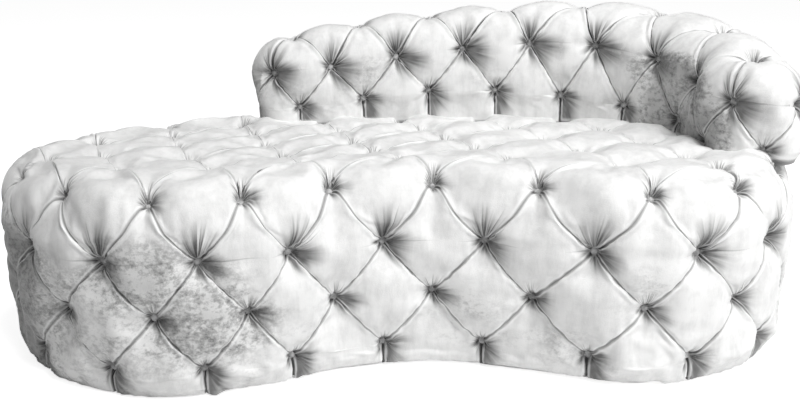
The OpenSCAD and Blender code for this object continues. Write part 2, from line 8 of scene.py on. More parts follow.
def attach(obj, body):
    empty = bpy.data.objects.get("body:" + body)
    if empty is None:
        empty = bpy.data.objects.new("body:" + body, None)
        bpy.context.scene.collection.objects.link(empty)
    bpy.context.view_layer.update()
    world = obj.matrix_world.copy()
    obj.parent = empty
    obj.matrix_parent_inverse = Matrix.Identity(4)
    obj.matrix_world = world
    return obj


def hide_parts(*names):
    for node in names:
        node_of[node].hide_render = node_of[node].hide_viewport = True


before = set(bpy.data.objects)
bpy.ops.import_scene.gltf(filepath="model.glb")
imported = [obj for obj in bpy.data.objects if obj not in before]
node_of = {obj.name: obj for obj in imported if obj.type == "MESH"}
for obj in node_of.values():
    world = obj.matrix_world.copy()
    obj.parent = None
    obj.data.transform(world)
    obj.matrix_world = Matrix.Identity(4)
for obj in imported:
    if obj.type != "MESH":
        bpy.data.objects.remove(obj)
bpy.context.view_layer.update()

# Plywood parts of the frame: the floor ring, the deck ring, the bent panels of base and backrest and
# the sill. Birch plywood, sawn or bent to the outline, glued and screwed, and left unfinished.


def new_material(name):
    """A material with only its Principled shader, and the shader's node"""
    made = bpy.data.materials.new(name)
    made.use_nodes = True
    return made, made.node_tree, made.node_tree.nodes["Principled BSDF"]


def stretched_noise(tree, stretch, detail=4, rough=0.55, twist=0.0):
    """Noise on the object's own coordinates, with its own scale along X, Y and Z (per metre)"""
    place = tree.nodes.new("ShaderNodeTexCoord")
    mapping = tree.nodes.new("ShaderNodeMapping")
    mapping.inputs["Scale"].default_value = stretch
    texture = tree.nodes.new("ShaderNodeTexNoise")
    texture.inputs["Scale"].default_value = 1
    texture.inputs["Detail"].default_value = detail
    texture.inputs["Roughness"].default_value = rough
    texture.inputs["Distortion"].default_value = twist
    tree.links.new(place.outputs["Object"], mapping.inputs["Vector"])
    tree.links.new(mapping.outputs["Vector"], texture.inputs["Vector"])
    return texture.outputs["Fac"]


def ramp(tree, value, stops):
    """Colours along a value from 0 to 1: stops are (position, grey or colour)"""
    made = tree.nodes.new("ShaderNodeValToRGB")
    bar = made.color_ramp
    for k, (place, colour) in enumerate(stops):
        stop = bar.elements[k] if k < 2 else bar.elements.new(place)
        stop.position = place
        stop.color = (*colour, 1) if isinstance(colour, tuple) else (colour, colour, colour, 1)
    tree.links.new(value, made.inputs["Fac"])
    return made.outputs["Color"]


def bump(tree, height, strength, depth):
    """A bump of the given depth (m) from a height from 0 to 1"""
    made = tree.nodes.new("ShaderNodeBump")
    made.inputs["Strength"].default_value = strength
    made.inputs["Distance"].default_value = depth
    tree.links.new(height, made.inputs["Height"])
    return made.outputs["Normal"]


def refinish(names, material):
    """Gives CAD nodes a material of their own"""
    for name in names:
        slots = node_of[name].data.materials
        slots.clear()
        slots.append(material)


birch_ply, tree, shader = new_material("birch_ply")
plies = stretched_noise(tree, (3, 3, 700), detail=1)
ply_colours = [(0.35, (0.60, 0.45, 0.28)), (0.62, (0.84, 0.72, 0.53))]
tree.links.new(ramp(tree, plies, ply_colours), shader.inputs["Base Color"])
tree.links.new(bump(tree, plies, 0.3, 0.0006), shader.inputs["Normal"])
shader.inputs["Roughness"].default_value = 0.65
refinish(["bottom_ring", "deck_ring", "back_sill", "front_panel", "right_panel", "back_panel", "left_panel",
          "inner_back_panel", "arm_end_panel", "outer_back_panel", "head_end_panel"], birch_ply)

# Solid timber of the frame: posts between the rings, corner blocks, cross rails, and the uprights and
# top rail of the backrest. Sawn softwood with open grain, screwed and glued together.

softwood, tree, shader = new_material("softwood")
grain = stretched_noise(tree, (60, 60, 5), detail=5, twist=1.5)
grain_colours = [(0.3, (0.56, 0.38, 0.21)), (0.55, (0.76, 0.59, 0.38)), (0.75, (0.82, 0.67, 0.46))]
tree.links.new(ramp(tree, grain, grain_colours), shader.inputs["Base Color"])
tree.links.new(bump(tree, grain, 0.35, 0.0008), shader.inputs["Normal"])
shader.inputs["Roughness"].default_value = 0.7
refinish(["posts", "corner_blocks", "cross_rails", "uprights", "top_rail"], softwood)

# Webbing, deck cloth, dust cover: jute strips tacked over the deck ring both ways, a hessian cloth on
# top of them, and a thin black cloth under the base.


def woven(name, dark, light, fineness, rough=0.9):
    """Cloth woven both ways, with fineness / 2 pi threads to the metre"""
    wave_turn = 20
    made, tree, shader = new_material(name)
    place = tree.nodes.new("ShaderNodeTexCoord")
    waves = []
    for direction in ("X", "Y"):
        wave = tree.nodes.new("ShaderNodeTexWave")
        wave.wave_type = "BANDS"
        wave.bands_direction = direction
        wave.inputs["Scale"].default_value = fineness / wave_turn
        wave.inputs["Distortion"].default_value = 0.4
        tree.links.new(place.outputs["Object"], wave.inputs["Vector"])
        waves.append(wave.outputs["Fac"])
    weave = tree.nodes.new("ShaderNodeMath")
    weave.operation = "MULTIPLY"
    tree.links.new(waves[0], weave.inputs[0])
    tree.links.new(waves[1], weave.inputs[1])
    over = weave.outputs["Value"]
    tree.links.new(ramp(tree, over, [(0.0, dark), (0.6, light)]), shader.inputs["Base Color"])
    tree.links.new(bump(tree, over, 0.5, 0.0008), shader.inputs["Normal"])
    shader.inputs["Roughness"].default_value = rough
    return made


refinish(["long_webbing", "cross_webbing"], woven("jute", (0.30, 0.22, 0.12), (0.68, 0.55, 0.36), 500))
refinish(["deck_cloth"], woven("hessian", (0.34, 0.26, 0.15), (0.72, 0.60, 0.41), 800))
refinish(["dust_cover"], woven("dust_cloth", (0.02, 0.02, 0.02), (0.07, 0.07, 0.07), 900))

# Foam: a slab on the deck, a wrap round the side panels and a shell round the backrest. Pale cut foam
# with open cells, glued down before the covers are pulled over it.

foam, tree, shader = new_material("foam")
cells = stretched_noise(tree, (900, 900, 900), detail=2)
foam_colours = [(0.3, (0.80, 0.72, 0.48)), (0.6, (0.95, 0.90, 0.72))]
tree.links.new(ramp(tree, cells, foam_colours), shader.inputs["Base Color"])
tree.links.new(bump(tree, cells, 0.5, 0.001), shader.inputs["Normal"])
shader.inputs["Roughness"].default_value = 0.95
refinish(["side_foam", "seat_foam", "back_foam"], foam)

# Hardware: nylon glides under the posts, and zinc-plated bolts, washers and nuts that hold the
# backrest's sill down on the deck ring.

nylon, tree, shader = new_material("nylon")
scuffs = stretched_noise(tree, (160, 160, 160), detail=5)
tree.links.new(ramp(tree, scuffs, [(0.35, 0.035), (0.7, 0.075)]), shader.inputs["Base Color"])
tree.links.new(ramp(tree, scuffs, [(0.3, 0.38), (0.7, 0.6)]), shader.inputs["Roughness"])
refinish(["glides"], nylon)
zinc, tree, shader = new_material("zinc")
spangle = stretched_noise(tree, (220, 220, 220), detail=3)
tree.links.new(ramp(tree, spangle, [(0.3, 0.56), (0.7, 0.72)]), shader.inputs["Base Color"])
tree.links.new(ramp(tree, spangle, [(0.3, 0.25), (0.7, 0.42)]), shader.inputs["Roughness"])
shader.inputs["Metallic"].default_value = 1
refinish(["bolts", "washers", "nuts"], zinc)

# The base's cover: crushed velvet over wadding, pulled down by a button at each crossing of the pleats
# into diamonds over the seat, round the rim and down the side, and turned in under the bottom edge.

seat_w, seat_d, seat_h = 1.934, 0.975, 0.480
rim_r, tuft_depth = 0.095, 0.045
low_row_z, row_pitch, tuck_in = 0.067, 0.122, 0.016
frame_z, turned_under = 0.006, 0.030
rim_z, plane_r = seat_h - rim_r, rim_r - tuft_depth
top_row_z, rim_angle = low_row_z + 2 * row_pitch, math.radians(50)
side_edge, seat_edge, hem_width = 0.16, 0.18, 0.20
crease_edge, crease_crown = 0.45, 0.6
seat_cols, seat_rows = 8, 3
seat_right = seat_cols + seat_rows
seat_back = seat_right + seat_cols
seat_outline_shares = [
    (-0.499, -0.081), (-0.475, -0.260), (-0.403, -0.414), (-0.297, -0.498), (-0.178, -0.465),
    (-0.069, -0.368), (0.044, -0.332), (0.153, -0.383), (0.262, -0.445), (0.375, -0.388),
    (0.461, -0.234), (0.497, -0.029), (0.492, 0.176), (0.437, 0.360), (0.324, 0.463),
    (0.148, 0.499), (-0.033, 0.491), (-0.199, 0.424), (-0.333, 0.289), (-0.439, 0.114)]
seat_column_shares = [
    0.039, 0.086, 0.134, 0.177, 0.218, 0.262, 0.307, 0.360, 0.410, 0.456, 0.501,
    0.547, 0.592, 0.637, 0.683, 0.728, 0.774, 0.819, 0.865, 0.910, 0.953, 0.996]
seat_n = len(seat_column_shares)
panel_steps, weld = 20, 0.0005


def closed_outline(shares):
    """A smooth closed line through its points: running shares of its length, and its plan points"""
    points = np.array(shares) * (seat_w, seat_d)
    steps = 16
    t = np.linspace(0, 1, steps, endpoint=False)[:, None]
    spans = []
    for k in range(len(points)):
        a, b, c, d = (points[(k + j) % len(points)] for j in (-1, 0, 1, 2))
        bend = 2 * a - 5 * b + 4 * c - d
        twist = 3 * b - a - 3 * c + d
        spans.append((2 * b + (c - a) * t + bend * t * t + twist * t ** 3) / 2)
    line = np.vstack(spans + [points[:1]])
    run = np.concatenate([[0], np.cumsum(np.linalg.norm(np.diff(line, axis=0), axis=1))])
    return run / run[-1], line


def along(outline, s):
    """The plan point at a share of an outline's length"""
    run, line = outline
    s = np.mod(s, 1)
    return np.stack([np.interp(s, run, line[:, 0]), np.interp(s, run, line[:, 1])], -1)


def outward(outline, s, reach=0.01):
    """The direction out of an outline, square to its run over a short reach on both sides"""
    way = along(outline, s + reach) - along(outline, s - reach)
    way /= np.linalg.norm(way, axis=-1, keepdims=True)
    return np.stack([way[..., 1], -way[..., 0]], -1)


def share_of(columns, c):
    """The share of an outline's length at which a column stands, whole or not"""
    n = len(columns)
    k = np.arange(-n, 2 * n + 1)
    return np.interp(c, k, [columns[j % n] + j // n for j in k])


def at_height(plan, z):
    """Plan points with their height"""
    return np.concatenate([plan, np.broadcast_to(z, plan.shape[:-1])[..., None]], -1)


seat_outline = closed_outline(seat_outline_shares)


def side_skin(c, r, h):
    """The side, h over the plane of its buttons: row 0 at the rim, 1 to 3 below it, 4 at the lower edge"""
    c, r, h = np.broadcast_arrays(np.float64(c), r, h)
    s = share_of(seat_column_shares, c)
    arc = plane_r * rim_angle
    down = r * (arc + rim_z - top_row_z)
    phi = np.where(r < 1, np.maximum(0, rim_angle - down / plane_r), 0)
    z = np.where(phi > 0, rim_z + plane_r * np.sin(phi),
                 np.where(r < 1, rim_z - (down - arc),
                          np.where(r < 3, top_row_z - (r - 1) * row_pitch,
                                   low_row_z - (r - 3) * (low_row_z - frame_z))))
    tuck = np.where(r > 3, tuck_in * np.maximum(r - 3, 0) ** 2, 0)
    d = rim_r - plane_r * np.cos(phi) + tuck - h * np.cos(phi)
    return at_height(along(seat_outline, s) - outward(seat_outline, s) * d[..., None], z + h * np.sin(phi))


def rim_plan(c):
    """Plan point of the rim's line of buttons at a column"""
    return side_skin(c, 0, 0)[..., :2]


def seat_plan(u, v):
    """A place on the seat, u columns along the front and v rows back, between the four rim lines"""
    x, y = (u / seat_cols)[..., None], (v / seat_rows)[..., None]
    corner = [rim_plan(k) for k in (0, seat_cols, seat_right, seat_back)]
    return ((1 - y) * rim_plan(u) + y * rim_plan(seat_back - u)
            + (1 - x) * rim_plan(seat_n - v) + x * rim_plan(seat_cols + v)
            - (1 - x) * ((1 - y) * corner[0] + y * corner[3]) - x * ((1 - y) * corner[1] + y * corner[2]))


rim_steps = 1200
rim_run = np.linspace(0, seat_n, rim_steps, endpoint=False)
rim_points = rim_plan(rim_run)
rim_outward = outward(seat_outline, share_of(seat_column_shares, rim_run))


def seat_skin(u, v, h):
    """The seat, which turns down over the rim where it comes near the rim's line of buttons"""
    plan = seat_plan(u, v)
    away = np.linalg.norm(plan[:, None, :] - rim_points[None, :, :], axis=-1)
    near = away.argmin(1)
    run_in = away[np.arange(len(plan)), near]
    lean = np.clip(math.cos(rim_angle) - run_in / plane_r, 0, 1)
    rise = np.sqrt(1 - lean ** 2)
    return at_height(plan + rim_outward[near] * (lean * h)[:, None], rim_z + plane_r * rise + h * rise)


def rim_skin(c, m, h):
    """The same at rim column c, m rows in from the rim"""
    c, m = np.broadcast_arrays(c, m)
    front, right, back = c <= seat_cols, c <= seat_right, c <= seat_back
    u = np.where(front, c, np.where(right, seat_cols - m, np.where(back, seat_back - c, m)))
    v = np.where(front, m, np.where(right, c - seat_cols, np.where(back, seat_rows - m, seat_n - c)))
    return seat_skin(u, v, h)


def puff(a, b, crease=0.80):
    """Height of a diamond as a share of the tuft, from 0 at its buttons to 1 in its middle"""
    wa, wb = np.sin(np.pi * np.clip(a, 0, 1)), np.sin(np.pi * np.clip(b, 0, 1))
    high = np.maximum(wa, wb)
    return crease * high ** crease_edge + (1 - crease) * np.maximum(0, wa * wb) ** crease_crown


def hem(a, q, crease=0.80):
    """Height below the lowest row, across from one pleat to the next and q of the way to a smooth edge"""
    edge_full, pleat_full, drawn_in = 0.82, 0.55, 0.25
    w = np.sin(np.pi * np.clip(a, 0, 1))
    crown = crease * w ** crease_edge + (1 - crease) * w ** (2 * crease_crown)
    shut = (1 - np.exp(-w / (0.05 + 0.10 * (1 - q)))) * q ** 0.7
    full = np.maximum(crown * (1 - q) + edge_full * q, 0.9 * shut)
    rounded_in = 1 - drawn_in * q * q
    on_pleat = np.where(w < 1e-6, pleat_full * q, 1)
    return full * rounded_in * on_pleat


def spread(t):
    """Moves the steps across a panel towards its pleats, where the cloth bends most"""
    return t - 0.115 * np.sin(2 * np.pi * t)


def add_panel(bm, place, keep=None):
    """One panel of the cover: a square grid laid out by place, cut along a diagonal where keep is given"""
    flat = bmesh.ops.create_grid(bm, x_segments=panel_steps, y_segments=panel_steps, size=0.5)["verts"]
    if keep:
        faces = list({f for v in flat for f in v.link_faces})
        edges = list({e for v in flat for e in v.link_edges})
        cut = bmesh.ops.bisect_plane(
            bm, geom=flat + edges + faces, dist=1e-6, plane_no=(keep, -keep, 0), clear_outer=True)
        flat = list({v for v in cut["geom"] if isinstance(v, bmesh.types.BMVert)})
    ab = np.array([v.co[:2] for v in flat]) + 0.5
    points, lines = place(spread(ab[:, 0]), spread(ab[:, 1]))
    pleat = bm.verts.layers.float["pleat"]
    for vert, point, line in zip(flat, points, lines):
        vert.co = point
        vert[pleat] = line


def pleat_lines(a, b, size):
    """Metres to the nearest pleat of a diamond with edges of this size; falling pleats seem further off, so
    their painted shade is thinner
    """
    falling = 1.7
    return np.minimum(np.minimum(a, 1 - a), falling * np.minimum(b, 1 - b)) * size


def tucked(a, b, size):
    """The fold of each pleat: a ridge with a line on both sides of it, on the diamond below"""
    fold, ridge_at, valley_at = 0.0030, 0.0065, 0.0135
    ridge_w, valley_w, line_w = 0.0030, 0.0024, 0.0022
    near_a, near_b = np.minimum(a, 1 - a), np.minimum(b, 1 - b)
    near = np.minimum(near_a, near_b) * size
    side = np.minimum(a, 1 - b) * size
    span = np.sin(np.pi * np.clip(np.where(near_a < near_b, b, a), 0, 1)) ** 1.5
    ridge = np.exp(-((side - ridge_at) / ridge_w) ** 2)
    valley = np.exp(-((side - valley_at) / valley_w) ** 2)
    line = np.exp(-(near / line_w) ** 2)
    return span * (fold * ridge - fold * valley - fold * line)


def side_diamond(c, r):
    """A diamond round column c and row r of the side, whose upper part lies on the seat where r is 0"""
    def place(a, b):
        col, row = c - 0.5 + (a + b) / 2, r + a - b
        on_seat = np.clip(-row, 0, 1)
        h = tuft_depth * puff(a, b, 0.80 + 0.06 * on_seat)
        h = h + tucked(a, b, side_edge) * np.clip(1 + row, 0, 1)
        points = side_skin(col, np.maximum(row, 0), h)
        if r == 0:
            up = row < 0
            points[up] = rim_skin(col[up], -row[up] / 2, h[up])
        return points, pleat_lines(a, b, side_edge)
    return place


def hem_panel(k):
    """The panel under the lowest row, round column k"""
    def place(a, q):
        points = side_skin(k - 0.5 + a, 3 + q, tuft_depth * hem(a, q))
        return points, np.minimum(a, 1 - a) * hem_width
    return place


def seat_diamond(u, v):
    """A diamond of the seat round column u and row v, with finer pleats and thinner painted pleat shade than
    the side's
    """
    def place(a, b):
        points = seat_skin(u - 0.5 + (a + b) / 2, v + (b - a) / 2, tuft_depth * puff(a, b, 0.86))
        return points, 2 * pleat_lines(a, b, seat_edge)
    return place


class Buttons:
    """One row of buttons: places, outward directions, how the cloth lies round them and how far their painted
    shade reaches
    """

    def __init__(self, skin, first, second, fan, folds, fall=1.0, nap=1.0, strength=1.0):
        """fan is the reach of its folds; fall under 1 lets the painted shade run down the pleat; the argument
        after fall sets the painted shade's relative size
        """
        self.at = skin(first, second, np.zeros(len(first)))
        self.out = skin(first, second, np.full(len(first), 0.001)) - self.at
        self.out /= np.linalg.norm(self.out, axis=1, keepdims=True)
        self.fan, self.folds, self.fall, self.nap, self.strength = fan, folds, fall, nap, strength


# A row with more folds than this has a fan above each button, and pulls across to the next one
few_folds = 5
side_places = np.arange(seat_n, dtype=float)
inner_places = [(i, j) for i in range(1, seat_cols) for j in range(1, seat_rows)]
inner_places += [(i + 0.5, j + 0.5) for i in range(seat_cols) for j in range(seat_rows)]
inner_u, inner_v = np.array(inner_places, dtype=float).T.copy()
base_buttons = {
    "rim_buttons": Buttons(side_skin, side_places, np.zeros(seat_n), 0.055, 4, nap=0.8, strength=0.9),
    "upper_side_buttons": Buttons(side_skin, side_places + 0.5, np.ones(seat_n), 0.100, 7, nap=1.15),
    "middle_side_buttons": Buttons(side_skin, side_places, np.full(seat_n, 2.0), 0.050, 3),
    "lower_side_buttons": Buttons(side_skin, side_places + 0.5, np.full(seat_n, 3.0), 0.036, 2, fall=0.4),
    "seat_buttons": Buttons(seat_skin, inner_u, inner_v, 0.040, 3, nap=0.7, strength=0.5),
}


def settle(cover, rows):
    """Lets the cloth find its shape over its filling, held at its buttons, pleats and lower edge"""
    last_frame, furthest = 13, 0.012
    pleat_grip, button_grip, edge_grip = 0.006, 0.016, 0.07
    mesh = cover.data
    count = len(mesh.vertices)
    before, pleat = np.empty(count * 3), np.empty(count)
    mesh.vertices.foreach_get("co", before)
    mesh.attributes["pleat"].data.foreach_get("value", pleat)
    before = before.reshape(-1, 3)
    hold = 0.55 * np.exp(-(pleat / pleat_grip) ** 2)
    for row in rows:
        for at in row.at:
            far = np.linalg.norm(before - at, axis=1)
            hold = np.maximum(hold, np.clip(1.6 * np.exp(-(far / button_grip) ** 2), 0, 1))
    rise = before[:, 2] - before[:, 2].min()
    hold = np.maximum(hold, np.clip(1.2 - rise / edge_grip, 0, 1))
    held = cover.vertex_groups.new(name="held")
    for k in np.flatnonzero(hold > 0.01).tolist():
        held.add([k], float(hold[k]), "REPLACE")
    cloth = cover.modifiers.new("settling", "CLOTH")
    rules = cloth.settings
    rules.quality = 4
    rules.mass = 0.2
    rules.tension_stiffness = rules.compression_stiffness = 12
    rules.shear_stiffness = 4
    rules.bending_stiffness = 0.08
    rules.use_pressure = True
    rules.uniform_pressure_force = 2.5
    rules.vertex_group_mass = "held"
    rules.pin_stiffness = 2
    rules.shrink_min = -0.05
    rules.effector_weights.gravity = 0
    stage = bpy.context.scene
    for frame_number in range(1, last_frame + 1):
        stage.frame_set(frame_number)
    done = cover.evaluated_get(bpy.context.evaluated_depsgraph_get()).to_mesh()
    after = np.empty(count * 3)
    done.vertices.foreach_get("co", after)
    step = after.reshape(-1, 3) - before
    step *= np.minimum(1, furthest / np.maximum(np.linalg.norm(step, axis=1, keepdims=True), 1e-9))
    mesh.vertices.foreach_set("co", (before + step).ravel())
    cover.modifiers.remove(cloth)
    cover.vertex_groups.remove(held)
    stage.frame_set(1)


def groove(aside, wide, ridge_at):
    """Height across a fold: a groove with a lower ridge beside it"""
    ridge = 0.8 * np.exp(-((aside - ridge_at) / wide) ** 2)
    return ridge - np.exp(-(aside / wide) ** 2)


def button_folds(rng, row, upward):
    """Angle, length and spacing of a button's folds: a few broad ones above it and short ones all round"""
    fan_spacing, short_spacing, short_folds = 0.26, 0.44, 10
    folds = []
    for j in range(row.folds):
        angle = upward + (j - (row.folds - 1) / 2) * fan_spacing + rng.normal(0, 0.05)
        folds.append((angle, rng.uniform(0.5, 1.0) * row.fan, fan_spacing))
    for j in range(short_folds):
        angle = upward + 1.1 + j * short_spacing + rng.uniform(-0.12, 0.12)
        folds.append((angle, rng.uniform(0.02, 0.04), short_spacing))
    return folds


def dark_nap(rng, row, x, y, turn):
    """Painted shade round a button: most to its right, the side turned from the light, down the pleat below
    it, and above it
    """
    least, to_right, ragged = 0.013, 0.028, 0.004
    below_w, above_h = 0.026, 0.052
    sag = np.where(y < 0, y * row.fall, y)
    lean = np.cos(np.arctan2(sag, x) + 0.25)
    waver = ragged * np.sin(5 * turn + rng.uniform(0, 6))
    long = row.nap * (least + to_right * np.maximum(0, lean) ** 1.3 + waver)
    dark = np.exp(-(np.hypot(x, sag) / long) ** 2.4)
    if row.fall < 1:
        below = np.clip(x / 0.003, 0, 1) * (y < 0)
        dark = np.maximum(dark, 0.9 * np.exp(-(x / below_w) ** 2) * below)
    if row.folds > few_folds:
        aside = (x - 0.10 * y) / (0.008 + 0.40 * np.abs(y))
        dark = np.maximum(dark, 0.85 * np.exp(-aside ** 4 - (y / above_h) ** 2) * (y > 0))
    return dark * row.strength


def gather(mesh, rows, seed):
    """Draws the cloth into folds that run out from each button, and notes where shade and highlights are
    painted round them
    """
    fold_depth, pulled_depth, lump = 0.0042, 0.0018, 0.0022
    pit_r, behind, shortest = 0.012, -0.04, 0.022
    round_about, half_seen = 0.11, 0.10
    left_gain, left_from, left_most, top_gain = 2.2, 0.54, 0.22, 0.40
    rng = np.random.default_rng(seed)
    count = len(mesh.vertices)
    points, normals = np.empty(count * 3), np.empty(count * 3)
    mesh.vertices.foreach_get("co", points)
    mesh.vertex_normals.foreach_get("vector", normals)
    points, normals = points.reshape(-1, 3), normals.reshape(-1, 3)
    move, drawn, fanned_out, pull = (np.zeros(count) for _ in range(4))
    nearest, strain, spoke = np.full(count, 9.0), np.full(count, 0.05), np.zeros((count, 3))
    facing, total = np.zeros((count, 3)), np.full(count, 1e-9)
    for row in rows:
        for k, (at, out) in enumerate(zip(row.at, row.out)):

            # Which way the cover faces on the whole, from the buttons round each point
            offset = points - at
            ahead = offset @ out
            weight = np.exp(-(offset ** 2).sum(1) / round_about ** 2) * np.clip(1.3 + ahead / half_seen, 0, 1)
            facing += weight[:, None] * out
            total += weight

            # The points near the button, in its own plane
            within = (np.abs(offset) < max(row.fan, 0.06) + 0.03).all(1)
            close = np.flatnonzero(within & (ahead > behind))
            away = offset[close]
            right = np.cross((0, 0, 1) if abs(out[2]) < 0.8 else (0, 1, 0), out)
            right /= np.linalg.norm(right)
            up = np.cross(out, right)
            x, y = away @ right, away @ up
            turn, far = np.arctan2(y, x), np.hypot(x, y)

            upward = math.radians(80) + rng.normal(0, 0.10)
            for angle, length, spacing in button_folds(rng, row, upward):
                wide = 0.0014 + 0.06 * far
                aside = far * np.sin(turn - angle) + rng.uniform(-1, 1) * far * far * 2
                crowd = np.minimum(1, far * spacing / (1.5 * wide))
                fade = rng.uniform(0.4, 1.0) * crowd * np.clip(1 - far / length, 0, 1) ** 0.7
                fade = fade * (np.cos(turn - angle) > 0)
                move[close] += fold_depth * fade * groove(aside, wide, 1.6 * wide)

            # Two shallow folds that pull across the puff to the next button; the first also has a painted
            # shade line along it
            if row.folds > few_folds:
                chord = row.at[(k + 1) % len(row.at)] - at
                span = np.linalg.norm(chord)
                within = (np.abs(offset - chord / 2) < span / 2 + 0.05).all(1)
                near = np.flatnonzero(within & (ahead > behind))
                off = offset[near]
                t = off @ chord / span ** 2
                high = off @ up - t * (chord @ up)
                for first, start in ((True, 0.004), (False, rng.uniform(0.013, 0.022))):
                    bow = rng.uniform(-0.004, 0.006) * np.sin(np.pi * np.clip(t, 0, 1))
                    aside = high - start * (1 - t) - bow - 0.002
                    ends = rng.uniform(0.15, 0.8), rng.uniform(0.05, 0.35)
                    reach = np.clip(1 - t / ends[0], 0, 1) ** 0.7
                    reach = reach + np.clip((t - 1 + ends[1]) / ends[1], 0, 1)
                    fade = np.clip(reach, 0, 1) * (t > 0.03) * (t < 0.97) * rng.uniform(0.35, 1)
                    move[near] += pulled_depth * fade * groove(aside, 0.004, 0.007)
                    if first:
                        stronger = fade * (np.abs(aside) < 0.012) > pull[near]
                        strain[near[stronger]] = aside[stronger]
                        pull[near[stronger]] = fade[stronger]

            # The painted shade round the button, and where its fan of sharp folds lies, for the fan's painted
            # shade and highlights
            drawn[close] = np.maximum(drawn[close], dark_nap(rng, row, x, y, turn))
            sector = np.exp(-((turn - upward) / 0.75) ** 4)
            fan = np.clip(1 - far / (shortest + sector * (row.fan - shortest)), 0, 1)
            share = far / max(row.fan, 0.04)
            mine = share < nearest[close]
            nearest[close[mine]] = share[mine]
            fanned_out[close[mine]] = fan[mine]
            own_noise = np.full(mine.sum(), rng.uniform(0, 50))
            spoke[close[mine]] = np.stack([np.cos(turn[mine]), np.sin(turn[mine]), own_noise], -1)
            pit = np.exp(-(far / pit_r) ** 2)
            points[close] -= out * np.maximum(0, (away @ out) * pit * 0.8)[:, None]

    facing /= total[:, None]
    # Painted shade where the cover as a whole turns left, away from the light, and less where it faces up
    turned_left = left_gain * np.clip(-facing[:, 0] - left_from, 0, left_most)
    facing_shade = turned_left - top_gain * np.maximum(0, facing[:, 2])
    lumps = np.array([noise.fractal(Vector(p) * 9, 1.0, 2.0, 2) for p in points])
    points += normals * (move + lump * lumps)[:, None]
    points[:, 2] = np.maximum(points[:, 2], frame_z)
    mesh.vertices.foreach_set("co", points.ravel())
    notes = {"drawn": drawn, "fan": fanned_out, "strain": strain, "pull": pull, "facing_shade": facing_shade}
    for name, values in notes.items():
        mesh.attributes.new(name, "FLOAT", "POINT").data.foreach_set("value", values)
    spokes = mesh.attributes.new("spoke", "FLOAT_VECTOR", "POINT")
    spokes.data.foreach_set("vector", spoke.ravel())
    mesh.update()


def finish_cover(bm, name, material, rows, seed):
    """Makes the closed cover an object, settles it, and draws it in at its buttons"""
    bmesh.ops.remove_doubles(bm, verts=bm.verts, dist=weld)
    bmesh.ops.recalc_face_normals(bm, faces=bm.faces)
    mesh = bpy.data.meshes.new(name)
    bm.to_mesh(mesh)
    bm.free()
    cover = bpy.data.objects.new(name, mesh)
    bpy.context.scene.collection.objects.link(cover)
    settle(cover, rows)
    finer = cover.modifiers.new("finer", "SUBSURF")
    finer.render_levels = finer.levels
    finer.use_limit_surface = False
    shaped = cover.evaluated_get(bpy.context.evaluated_depsgraph_get())
    fine = bpy.data.meshes.new_from_object(shaped)
    cover.modifiers.clear()
    cover.data = fine
    cover.data.shade_smooth()
    gather(cover.data, rows, seed)
    cover.data.materials.append(material)
    return cover


def close_under(bm, turn_in=None):
    """Closes the open bottom edge flat, after a ring that turns it in where turn_in is given"""
    loop = [e for e in bm.edges if e.is_boundary]
    if turn_in:
        made = bmesh.ops.extrude_edge_only(bm, edges=loop)["geom"]
        for vert in [g for g in made if isinstance(g, bmesh.types.BMVert)]:
            vert.co = turn_in(vert.co)
        loop = [g for g in made if isinstance(g, bmesh.types.BMEdge) and g.is_boundary]
    bmesh.ops.contextual_create(bm, geom=loop)


def under_base(co):
    """A place on the ring that is turned in under the base"""
    middle = Vector((0, 0.05, 0))
    return co + (middle - co).normalized() * turned_under - Vector((0, 0, co.z - frame_z))


velvet, tree, shader = new_material("crushed_velvet")


def attribute(name, output="Fac"):
    """What a mesh attribute holds"""
    made = tree.nodes.new("ShaderNodeAttribute")
    made.attribute_name = name
    return made.outputs[output]


def sums(operation, first, second, third=None):
    """A sum of sockets or numbers"""
    made = tree.nodes.new("ShaderNodeMath")
    made.operation = operation
    for k, value in enumerate((first, second, third)):
        if isinstance(value, (int, float)):
            made.inputs[k].default_value = value
        elif value is not None:
            tree.links.new(value, made.inputs[k])
    return made.outputs["Value"]


def darken(colour, shade):
    """A colour times another, or times the grey of a socket"""
    made = tree.nodes.new("ShaderNodeMix")
    made.data_type = "RGBA"
    made.blend_type = "MULTIPLY"
    made.inputs["Factor"].default_value = 1
    tree.links.new(colour, made.inputs["A"])
    if isinstance(shade, tuple):
        made.inputs["B"].default_value = shade
    else:
        tree.links.new(shade, made.inputs["B"])
    return made.outputs["Result"]


# Crushed patches of nap between smooth ones, set mostly at the left end and on sides that face left, away
# from the light, where they are partly painted shade
specks = stretched_noise(tree, (75, 75, 95), detail=8, rough=0.72)
patches = stretched_noise(tree, (13, 13, 20), detail=5, rough=0.6)
broad = stretched_noise(tree, (3.4, 3.4, 5.5), detail=3, rough=0.5)
streaks = stretched_noise(tree, (45, 45, 12), detail=5, rough=0.65)
spot = tree.nodes.new("ShaderNodeTexCoord")
axis = tree.nodes.new("ShaderNodeSeparateXYZ")
tree.links.new(spot.outputs["Object"], axis.inputs["Vector"])
# Painted shade growing towards the left end, which is turned from the light
left_end_x, left_rise, left_least = -0.40, 0.45, -0.12
left_end_shade = sums("MULTIPLY", sums("SUBTRACT", left_end_x, axis.outputs["X"]), left_rise)
rubbed = sums("ADD", sums("MULTIPLY", specks, 0.62), sums("MULTIPLY", patches, 0.38))
crushed = ramp(tree, rubbed, [(0.38, 0.22), (0.46, 0.55), (0.54, 0.95)])
brushed = sums("ADD", sums("MULTIPLY", streaks, 0.5), sums("MULTIPLY", patches, 0.5))
smooth = ramp(tree, brushed, [(0.34, 0.80), (0.56, 1.0)])
nap = tree.nodes.new("ShaderNodeMix")
nap.data_type = "RGBA"
where = sums("ADD", sums("ADD", broad, sums("MAXIMUM", left_end_shade, left_least)), attribute("facing_shade"))
tree.links.new(ramp(tree, where, [(0.46, 0.0), (0.64, 0.9)]), nap.inputs["Factor"])
tree.links.new(smooth, nap.inputs["A"])
tree.links.new(crushed, nap.inputs["B"])
